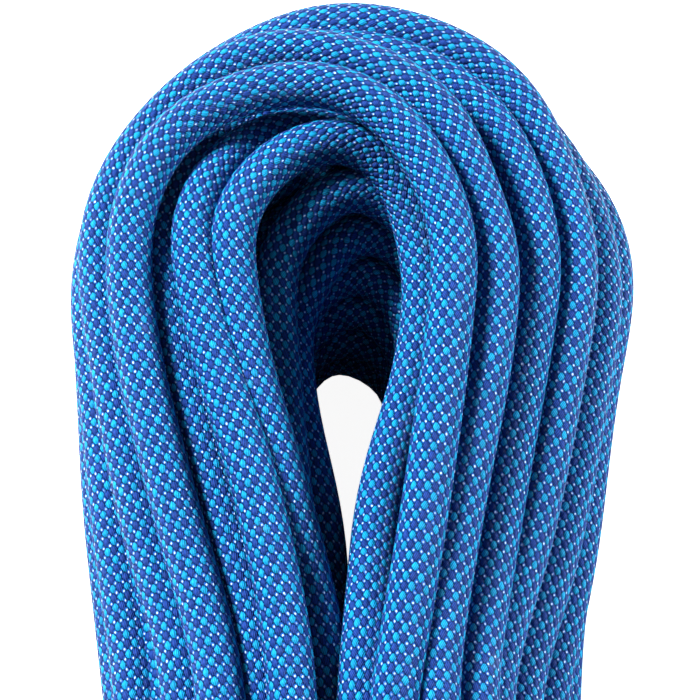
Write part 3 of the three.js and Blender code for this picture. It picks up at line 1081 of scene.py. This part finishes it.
def band_finish(groups):
    """White band with one plain coloured line near each edge."""
    material, bench, shader = new_material("end band")
    split = bench.node("ShaderNodeSeparateXYZ")
    bench.feed(split.inputs[0], bench.node("ShaderNodeTexCoord").outputs["Generated"])
    from_end = bench.calc("ABSOLUTE", bench.calc("SUBTRACT", split.outputs[1], 0.5))
    inner = bench.calc("GREATER_THAN", from_end, 0.5 - BAND_STRIPE)
    outer = bench.calc("LESS_THAN", from_end, 0.5 - BAND_STRIPE / 2)
    line = bench.calc("MULTIPLY", inner, outer)
    colour = bench.mix(line, BAND_WHITE, BAND_LINE)
    handled = use_group(bench, groups["handling"], Colour=colour, Dust=BAND_DUST, Scale=3.0)
    bench.feed(shader.inputs["Base Color"], handled["Colour"])
    bench.feed(shader.inputs["Roughness"], bench.calc("MULTIPLY_ADD", handled["Dust Mask"], 1.5, 0.38))
    bump(bench, shader, handled["Dust Mask"], 0.00006)
    return material


def sleeve_finish(groups):
    """Clear shrunk plastic, a little scuffed."""
    material, bench, shader = new_material("shrink sleeve")
    handled = use_group(bench, groups["handling"], Colour=SLEEVE_CLEAR, Dust=SLEEVE_DUST, Scale=4.0)
    bench.feed(shader.inputs["Base Color"], handled["Colour"])
    bench.feed(shader.inputs["Alpha"], bench.calc("MULTIPLY_ADD", handled["Dust Mask"], 2.0, 0.2))
    bench.feed(shader.inputs["Roughness"], bench.calc("MULTIPLY_ADD", handled["Dust Mask"], 2.0, 0.08))
    shader.inputs["Coat Weight"].default_value = 0.6
    shader.inputs["Coat Roughness"].default_value = 0.06
    bump(bench, shader, handled["Dust Mask"], 0.0001)
    return material


def tip_finish(groups):
    """Nylon melted together: dark, uneven, half glossy."""
    material, bench, shader = new_material("fused tip")
    place = bench.node("ShaderNodeTexCoord").outputs["Object"]
    lumps = bench.noise(place, TIP_LUMPS, 3.0)
    colour = bench.mix(lumps, TIP_DARK, TIP_BLUE)
    handled = use_group(bench, groups["handling"], Colour=colour, Dust=TIP_DUST, Scale=5.0)
    bench.feed(shader.inputs["Base Color"], handled["Colour"])
    bench.feed(shader.inputs["Roughness"], bench.ramp(lumps, 0.3, 0.7, 0.22, 0.5))
    bump(bench, shader, lumps, 0.0005)
    return material


def make_finishes():
    groups = {"weave": weave_group(), "handling": handling_group(), "fibres": fibre_group()}
    return {
        "sheath": sheath_finish(groups),
        "strand": strand_finish(groups),
        "tape": tape_finish(groups),
        "band": band_finish(groups),
        "sleeve": sleeve_finish(groups),
        "tip": tip_finish(groups),
    }


# --- what is on each end of the rope
END_SIDES = 56
BAND_CLEARANCE = 0.02
BAND_UNDER_SLEEVE = 0.15
BAND_EDGE = 0.12
BAND_CUTS = 12
BAND_WAVER = 0.03
BAND_WAVES = 2.3
BAND_RIPPLE = 0.02
SLEEVE_CLEARANCE = 0.08
SLEEVE_WALL = 0.32
SLEEVE_EASE = 2.2
SLEEVE_LIP = 0.4
SLEEVE_CUTS = 8
SLEEVE_OVER_BAND = 0.02
SLEEVE_AT_LIP = 0.05
SLEEVE_WAVER = 0.03
SLEEVE_WAVES = 1.7
SLEEVE_RIPPLE = 0.05
SLEEVE_EDGE_IN = 0.15
SLEEVE_EDGE_DOWN = 0.12
TIP_ROUND = 1.6
TIP_OVERLAP = 0.3
TIP_SWELL = 0.05
TIP_CUTS = 6
TIP_SWOLLEN_FROM = 1.2
TIP_RIM = 0.6
TIP_RIPPLE = 0.08
# the sunk face of the tip: how far in, and at which share of the radius
TIP_FACE = ((0.25, 0.45), (0.5, 0.2), (0.55, 0.04))


def turned_about_y(name, centre, profile, ripple=0.0, ripples=7, closed=True):
    """A profile of (y, radius) turned about a line along y, in millimetres; ripple makes it hand-shrunk."""
    rings = len(profile)
    verts = []
    for index, (y, radius) in enumerate(profile):
        for side in range(END_SIDES):
            angle = 2 * math.pi * side / END_SIDES
            swell = ripple * math.sin(ripples * angle + 0.9 * index) * math.sin(0.5 * angle + 0.4 * index)
            reach = radius + swell
            x = centre[0] + reach * math.cos(angle)
            z = centre[1] + reach * math.sin(angle)
            verts.append((x * MM, y * MM, z * MM))
    faces = tube_faces(rings, END_SIDES).tolist()
    last = (rings - 1) * END_SIDES
    if closed:
        faces += [[last + k, last + (k + 1) % END_SIDES, (k + 1) % END_SIDES, k] for k in range(END_SIDES)]
    else:
        faces.append(list(range(END_SIDES))[::-1])
        faces.append([last + k for k in range(END_SIDES)])
    return mesh_object(name, verts, [face[::-1] for face in faces])


def box_mm(node):
    low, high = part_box(node)
    return [value / MM for value in low], [value / MM for value in high]


def middle_across(low, high):
    """The middle of a box as (x, z), for a piece that lies along y."""
    return (low[0] + high[0]) / 2, (low[2] + high[2]) / 2


def make_band(end):
    low, high = box_mm(end + "_end_band")
    start, stop = low[1], high[1]
    inner = ROPE_RADIUS + BAND_CLEARANCE
    outer = (high[2] - low[2]) / 2 - BAND_UNDER_SLEEVE
    profile = [(start, inner), (start, outer - BAND_EDGE), (start + BAND_EDGE, outer)]
    for k in range(1, BAND_CUTS):
        waver = BAND_WAVER * math.sin(BAND_WAVES * k)
        profile.append((start + (stop - start) * k / BAND_CUTS, outer + waver))
    profile += [(stop - BAND_EDGE, outer), (stop, outer - BAND_EDGE), (stop, inner)]
    return turned_about_y(end + "_band", middle_across(low, high), profile, ripple=BAND_RIPPLE)


def sleeve_bore(low, high, band_low, band_high):
    """The sleeve's inside as (y, radius): shrunk tight on the rope, and wide over the band."""
    wide = (band_high[2] - band_low[2]) / 2
    tight = ROPE_RADIUS + SLEEVE_CLEARANCE
    start, stop = band_low[1], band_high[1]
    bore = [(low[1], tight), (start - SLEEVE_EASE, tight), (start - SLEEVE_LIP, wide - SLEEVE_AT_LIP)]
    for k in range(SLEEVE_CUTS + 1):
        y = start + (stop - start) * k / SLEEVE_CUTS
        bore.append((y, wide + SLEEVE_OVER_BAND + SLEEVE_WAVER * math.sin(SLEEVE_WAVES * k)))
    bore += [(stop + SLEEVE_LIP, wide - SLEEVE_AT_LIP), (stop + SLEEVE_EASE, tight), (high[1], tight)]
    return bore


def make_sleeve(end):
    low, high = box_mm(end + "_shrink_sleeve")
    bore = sleeve_bore(low, high, *box_mm(end + "_end_band"))
    outside = [(y, radius + SLEEVE_WALL) for y, radius in bore]
    (start, radius_start), (stop, radius_stop) = outside[0], outside[-1]
    outside[0] = (start + SLEEVE_EDGE_IN, radius_start)
    outside[-1] = (stop - SLEEVE_EDGE_IN, radius_stop)
    first = (start, radius_start - SLEEVE_EDGE_DOWN)
    last = (stop, radius_stop - SLEEVE_EDGE_DOWN)
    profile = [first] + outside + [last] + bore[::-1]
    return turned_about_y(end + "_sleeve", middle_across(low, high), profile, SLEEVE_RIPPLE, ripples=5)


def make_tip(end):
    """The melted end: a short plug with a rounded rim and a sunk, lumpy face."""
    low, high = box_mm(end + "_fused_tip")
    face, root = low[1], high[1] + TIP_OVERLAP
    radius = ROPE_RADIUS - TIP_SWELL
    swollen = radius + TIP_SWELL
    profile = [(root, radius), (root - TIP_SWOLLEN_FROM, swollen), (face + TIP_ROUND + TIP_RIM, swollen)]
    for k in range(TIP_CUTS + 1):
        turn = math.pi / 2 * k / TIP_CUTS
        profile.append((face + TIP_ROUND * (1 - math.sin(turn)), radius - TIP_ROUND * (1 - math.cos(turn))))
    profile += [(face + inwards, radius * share) for inwards, share in TIP_FACE]
    return turned_about_y(end + "_tip", middle_across(low, high), profile[::-1], TIP_RIPPLE, ripples=4,
                          closed=False)


# --- studio
FLOOR_SIZE = 12.0
FLOOR_GLOW = 1.0
# the room as a light on the rope, and as the camera sees it
ROOM_LIGHT = 0.17
ROOM_SEEN = 1.0
# each light: its place, what it is turned to, its width in metres and its power in watts
KEY_LIGHT = ((-0.85, 0.75, 0.95), (0.0, 0.25, 0.0), 0.4, 50.0)
FILL_LIGHT = ((1.3, 0.35, 0.42), (0.0, 0.2, 0.05), 0.5, 27.0)
FLOOR_COLOUR = (0.93, 0.93, 0.93, 1.0)


def make_floor():
    half = FLOOR_SIZE / 2
    corners = [(-half, -half, 0.0), (half, -half, 0.0), (half, half, 0.0), (-half, half, 0.0)]
    floor = mesh_object("floor", corners, [[0, 1, 2, 3]], smooth=False)
    material, bench, shader = new_material("floor")
    shader.inputs["Base Color"].default_value = FLOOR_COLOUR
    shader.inputs["Roughness"].default_value = 0.9
    seen = bench.node("ShaderNodeLightPath").outputs["Is Camera Ray"]
    shader.inputs["Emission Color"].default_value = FLOOR_COLOUR
    bench.feed(shader.inputs["Emission Strength"], bench.calc("MULTIPLY", seen, FLOOR_GLOW))
    floor.data.materials.append(material)


def soft_light(name, place, aim, size, power):
    data = bpy.data.lights.new(name, "AREA")
    data.shape = "DISK"
    data.size = size
    data.energy = power
    light = bpy.data.objects.new(name, data)
    light.location = place
    light.rotation_euler = (Vector(aim) - Vector(place)).to_track_quat("-Z", "Y").to_euler()
    bpy.context.scene.collection.objects.link(light)


def make_lights():
    soft_light("key", *KEY_LIGHT)
    soft_light("fill", *FILL_LIGHT)
    world = bpy.data.worlds.new("studio")
    world.use_nodes = True
    background = world.node_tree.nodes["Background"]
    background.inputs["Color"].default_value = (1.0, 1.0, 1.0, 1.0)
    room = Bench(world.node_tree)
    seen = room.node("ShaderNodeLightPath").outputs["Is Camera Ray"]
    strength = room.calc("MULTIPLY_ADD", seen, ROOM_SEEN - ROOM_LIGHT, ROOM_LIGHT)
    room.feed(background.inputs["Strength"], strength)
    bpy.context.scene.world = world
    bpy.context.scene.view_settings.view_transform = "Standard"


# --- putting it together
ENDS = ("start", "finish")


def paint(piece, finish):
    piece.data.materials.clear()
    piece.data.materials.append(finish)


def make_end_pieces(finishes):
    made = []
    for end in ENDS:
        kinds = (
            (make_band, "band", "end_band", "end_band"),
            (make_sleeve, "sleeve", "shrink_sleeve", "shrink_sleeve"),
            (make_tip, "tip", "fused_tip", "fused_tip"),
        )
        for make, finish, node, slot in kinds:
            piece = make(end)
            paint(piece, finishes[finish])
            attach(piece, "root")
            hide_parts(end + "_" + node)
            made.append(piece)
    return made


def make_core_pieces(line, finishes):
    for end in ENDS:
        for piece, node, finish, slot in make_core(end, line):
            paint(piece, finishes[finish])
            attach(piece, "root")
            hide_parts(node)


def main():
    make_camera()
    line = rope_route()
    rope = make_rope(line)
    finishes = make_finishes()
    paint(rope, finishes["sheath"])
    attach(rope, "root")
    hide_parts("hank", "waist_wraps", "start_tail_sheath", "finish_tail_sheath")
    end_pieces = make_end_pieces(finishes)
    make_core_pieces(line, finishes)
    make_floor()
    make_lights()


main()
